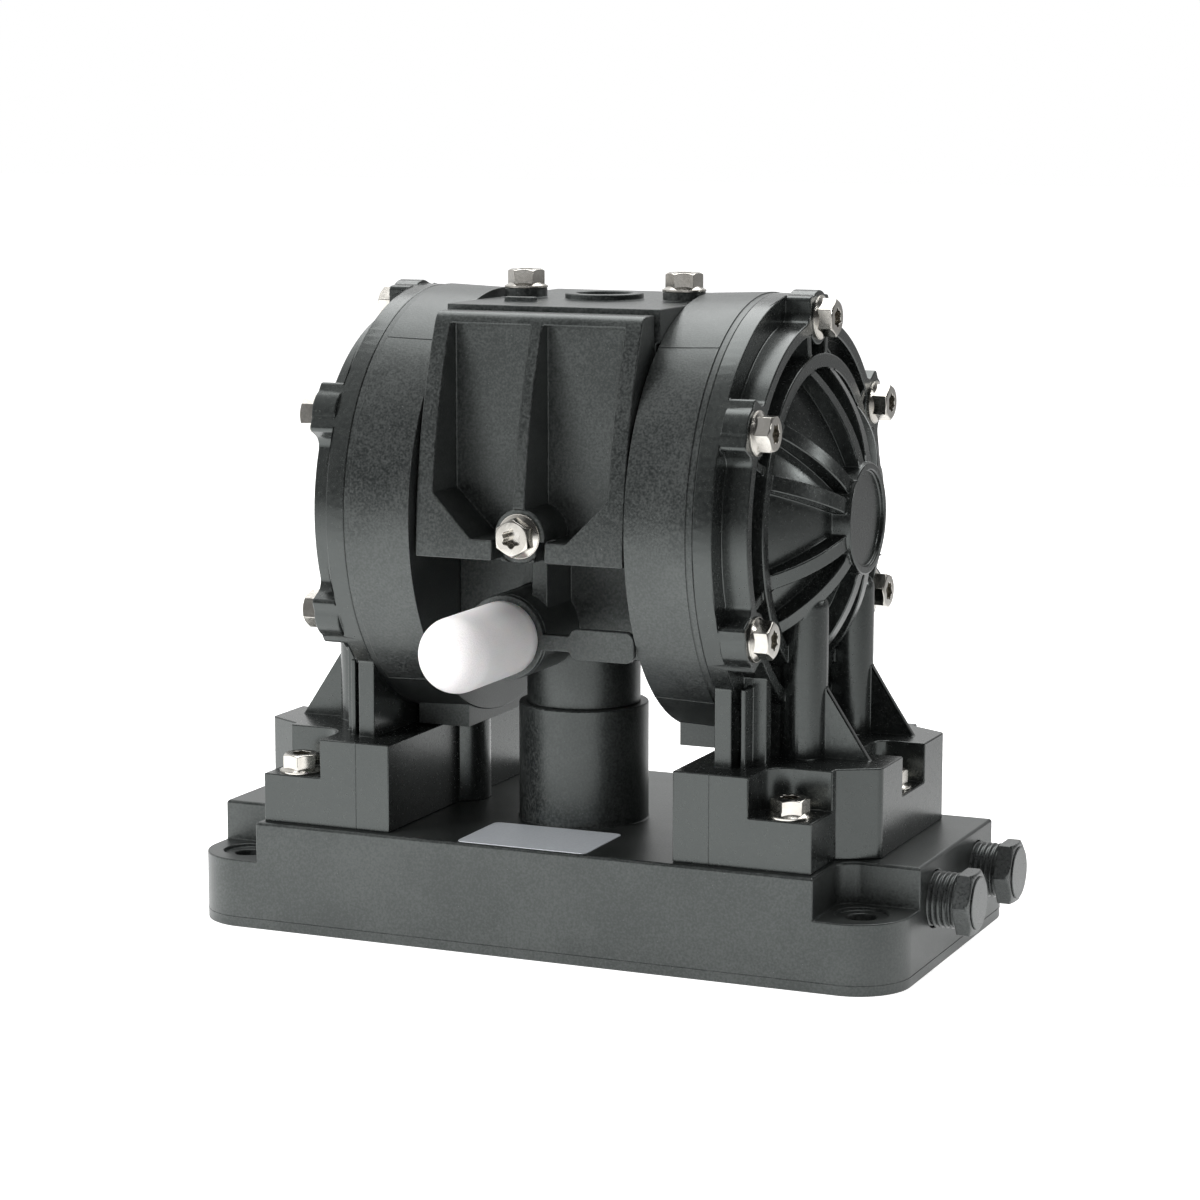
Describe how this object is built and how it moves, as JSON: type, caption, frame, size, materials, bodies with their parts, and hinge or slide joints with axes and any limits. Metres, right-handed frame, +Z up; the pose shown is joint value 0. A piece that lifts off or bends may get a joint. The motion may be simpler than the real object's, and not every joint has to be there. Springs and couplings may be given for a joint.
{
  "type": "air operated diaphragm pump",
  "caption": "Compact air operated double diaphragm pump with black plastic heads, ribbed fluid covers, a front air valve, a white muffler and a manifold base.",
  "frame": {"origin": "centre of the underside of the manifold base", "axes": "+X along the diaphragm shaft to the pump head on the plugged side of the base, -Y to the air valve and the muffler, +Z up"},
  "size_m": [0.1948, 0.1312, 0.1612],
  "materials": {
    "housing_plastic": "glass-filled polypropylene, moulded black, satin with fine grain",
    "plug_plastic": "moulded black plastic, satin",
    "tag_plastic": "thin moulded black plastic, satin",
    "porous_white": "sintered porous polyethylene, white and dull",
    "stainless_screw": "stainless steel, cold formed, bright",
    "stainless_shaft": "stainless steel, ground",
    "black_rubber": "moulded nitrile rubber",
    "diaphragm_rubber": "moulded thermoplastic elastomer",
    "plate_aluminium": "die cast aluminium",
    "plate_plastic": "moulded polypropylene, black",
    "valve_plastic": "moulded acetal, dark grey",
    "bearing_plastic": "acetal, natural"
  },
  "bodies": {
    "pump_body": {"base_manifold": "housing_plastic", "centre_housing": "housing_plastic", "air_chamber_right": "housing_plastic", "air_chamber_left": "housing_plastic", "chamber_screws": "stainless_screw", "air_valve_cover": "housing_plastic", "valve_cover_gasket": "black_rubber", "valve_body": "valve_plastic", "valve_end_caps": "valve_plastic", "exhaust_tag": "tag_plastic", "muffler": "porous_white", "fluid_cover_right": "housing_plastic", "fluid_cover_left": "housing_plastic", "cover_screws_right": "stainless_screw", "cover_screws_left": "stainless_screw", "foot_screws_right": "stainless_screw", "foot_screws_left": "stainless_screw", "top_screws": "stainless_screw", "valve_cover_screw": "stainless_screw", "port_plugs": "plug_plastic", "inlet_check_valves": "black_rubber", "outlet_check_valves": "black_rubber", "diaphragm_right": "diaphragm_rubber", "diaphragm_left": "diaphragm_rubber", "shaft_bushes": "bearing_plastic", "shaft_seals": "black_rubber", "pilot_guides": "bearing_plastic"},
    "shaft_assembly": {"diaphragm_shaft": "stainless_shaft", "air_plate_right": "plate_aluminium", "air_plate_left": "plate_aluminium", "fluid_plate_right": "plate_plastic", "fluid_plate_left": "plate_plastic", "plate_bolts": "stainless_shaft"},
    "pilot": {"pilot_rod": "stainless_shaft"},
    "spool": {"valve_spool": "bearing_plastic"}
  },
  "joints": [
    {"name": "shaft_slide", "type": "slide", "parent": "pump_body", "child": "shaft_assembly", "axis": [1, 0, 0], "range_m": [-0.005, 0.005], "deforming": ["diaphragm_right", "diaphragm_left"]},
    {"name": "pilot_slide", "type": "slide", "parent": "pump_body", "child": "pilot", "axis": [1, 0, 0], "range_m": [-0.002, 0.002]},
    {"name": "spool_slide", "type": "slide", "parent": "pump_body", "child": "spool", "axis": [1, 0, 0], "range_m": [-0.003, 0.003]}
  ],
  "couplings": [
    {"joint": "pilot_slide", "follows": "shaft_slide", "ratio": 0.4}
  ]
}
